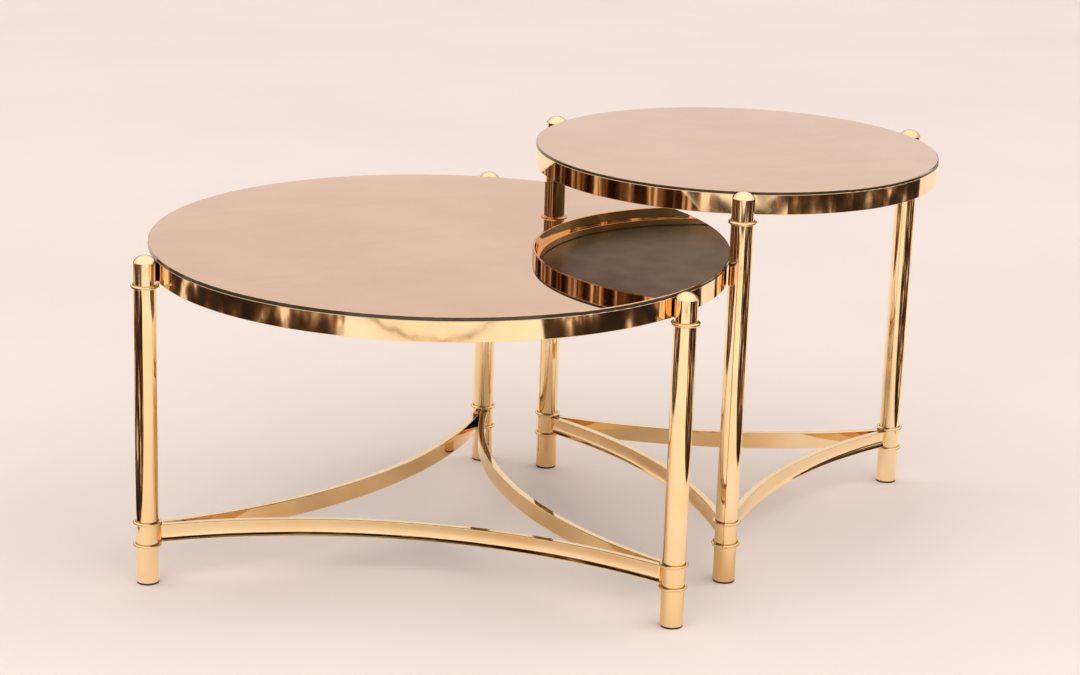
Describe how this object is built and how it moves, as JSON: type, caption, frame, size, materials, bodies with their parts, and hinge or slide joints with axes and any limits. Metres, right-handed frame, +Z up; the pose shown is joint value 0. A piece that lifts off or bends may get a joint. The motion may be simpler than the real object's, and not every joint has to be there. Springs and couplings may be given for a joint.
{
  "type": "nesting tables",
  "caption": "Round mirror-topped side tables on gold tube legs with bowed stretchers; the taller, narrower one slides over the edge of the lower, wider one.",
  "frame": {"origin": "on the floor, in the middle of the pair's bounding box", "axes": "+X from the low table's centre towards the tall table's centre, along which the tall table slides; +Z up; +Y completes a right-handed frame"},
  "size_m": [1.2334, 0.8, 0.557],
  "materials": {
    "polished_gold": "mirror-polished, champagne gold plating",
    "mirror_glass": "bronze-tinted mirror, polished edge",
    "clear_pad": "clear soft vinyl",
    "black_plastic": "moulded, fine texture"
  },
  "bodies": {
    "low_table": {"large_mirror_top": "mirror_glass", "large_top_band": "polished_gold", "large_ledge_ring": "polished_gold", "large_glass_pads": "clear_pad", "large_leg_1": "polished_gold", "large_leg_2": "polished_gold", "large_leg_3": "polished_gold", "large_dome_cap_1": "polished_gold", "large_dome_cap_2": "polished_gold", "large_dome_cap_3": "polished_gold", "large_top_collar_1": "polished_gold", "large_top_collar_2": "polished_gold", "large_top_collar_3": "polished_gold", "large_upper_foot_collar_1": "polished_gold", "large_upper_foot_collar_2": "polished_gold", "large_upper_foot_collar_3": "polished_gold", "large_lower_foot_collar_1": "polished_gold", "large_lower_foot_collar_2": "polished_gold", "large_lower_foot_collar_3": "polished_gold", "large_foot_plug_1": "black_plastic", "large_foot_plug_2": "black_plastic", "large_foot_plug_3": "black_plastic", "large_stretcher_1": "polished_gold", "large_stretcher_2": "polished_gold", "large_stretcher_3": "polished_gold"},
    "tall_table": {"small_mirror_top": "mirror_glass", "small_top_band": "polished_gold", "small_ledge_ring": "polished_gold", "small_glass_pads": "clear_pad", "small_leg_1": "polished_gold", "small_leg_2": "polished_gold", "small_leg_3": "polished_gold", "small_dome_cap_1": "polished_gold", "small_dome_cap_2": "polished_gold", "small_dome_cap_3": "polished_gold", "small_top_collar_1": "polished_gold", "small_top_collar_2": "polished_gold", "small_top_collar_3": "polished_gold", "small_upper_foot_collar_1": "polished_gold", "small_upper_foot_collar_2": "polished_gold", "small_upper_foot_collar_3": "polished_gold", "small_lower_foot_collar_1": "polished_gold", "small_lower_foot_collar_2": "polished_gold", "small_lower_foot_collar_3": "polished_gold", "small_foot_plug_1": "black_plastic", "small_foot_plug_2": "black_plastic", "small_foot_plug_3": "black_plastic", "small_stretcher_1": "polished_gold", "small_stretcher_2": "polished_gold", "small_stretcher_3": "polished_gold"}
  },
  "joints": [
    {"name": "nest_slide", "type": "slide", "parent": "low_table", "child": "tall_table", "axis": [1, 0, 0], "range_m": [0, 0.3]}
  ]
}
